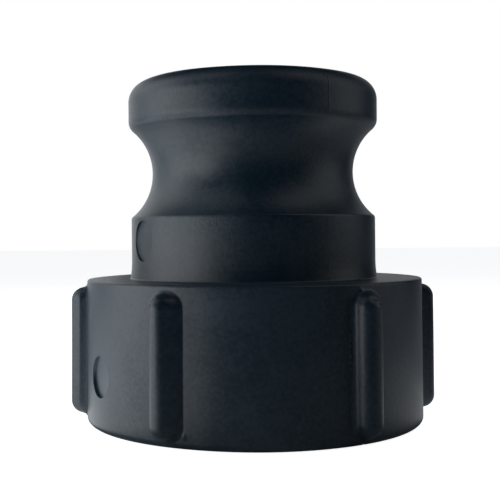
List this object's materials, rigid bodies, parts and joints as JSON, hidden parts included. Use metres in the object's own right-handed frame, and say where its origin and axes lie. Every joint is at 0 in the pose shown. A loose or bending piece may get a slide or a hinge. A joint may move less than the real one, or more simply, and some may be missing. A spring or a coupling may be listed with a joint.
{
  "type": "camlock coupling adapter",
  "caption": "Black moulded pipe adapter: a grooved camlock plug on top of a round, ribbed socket with a coarse internal thread and a flat gasket.",
  "frame": {"origin": "centre of the socket's mouth, on the plane it stands on", "axes": "+Z along the flow axis, from the threaded socket up to the camlock plug's end; -Y is the front"},
  "size_m": [0.0926, 0.085, 0.0851],
  "materials": {
    "moulding": "black moulded polypropylene with a fine matt grain",
    "gasket": "smooth matt black rubber"
  },
  "bodies": {
    "adapter": {"camlock_plug": "moulding", "threaded_socket": "moulding"},
    "gasket": {"flat_gasket": "gasket"}
  },
  "joints": [
    {"name": "gasket_removal", "type": "slide", "parent": "adapter", "child": "gasket", "axis": [0, 0, -1], "range_m": [0, 0.04]}
  ]
}
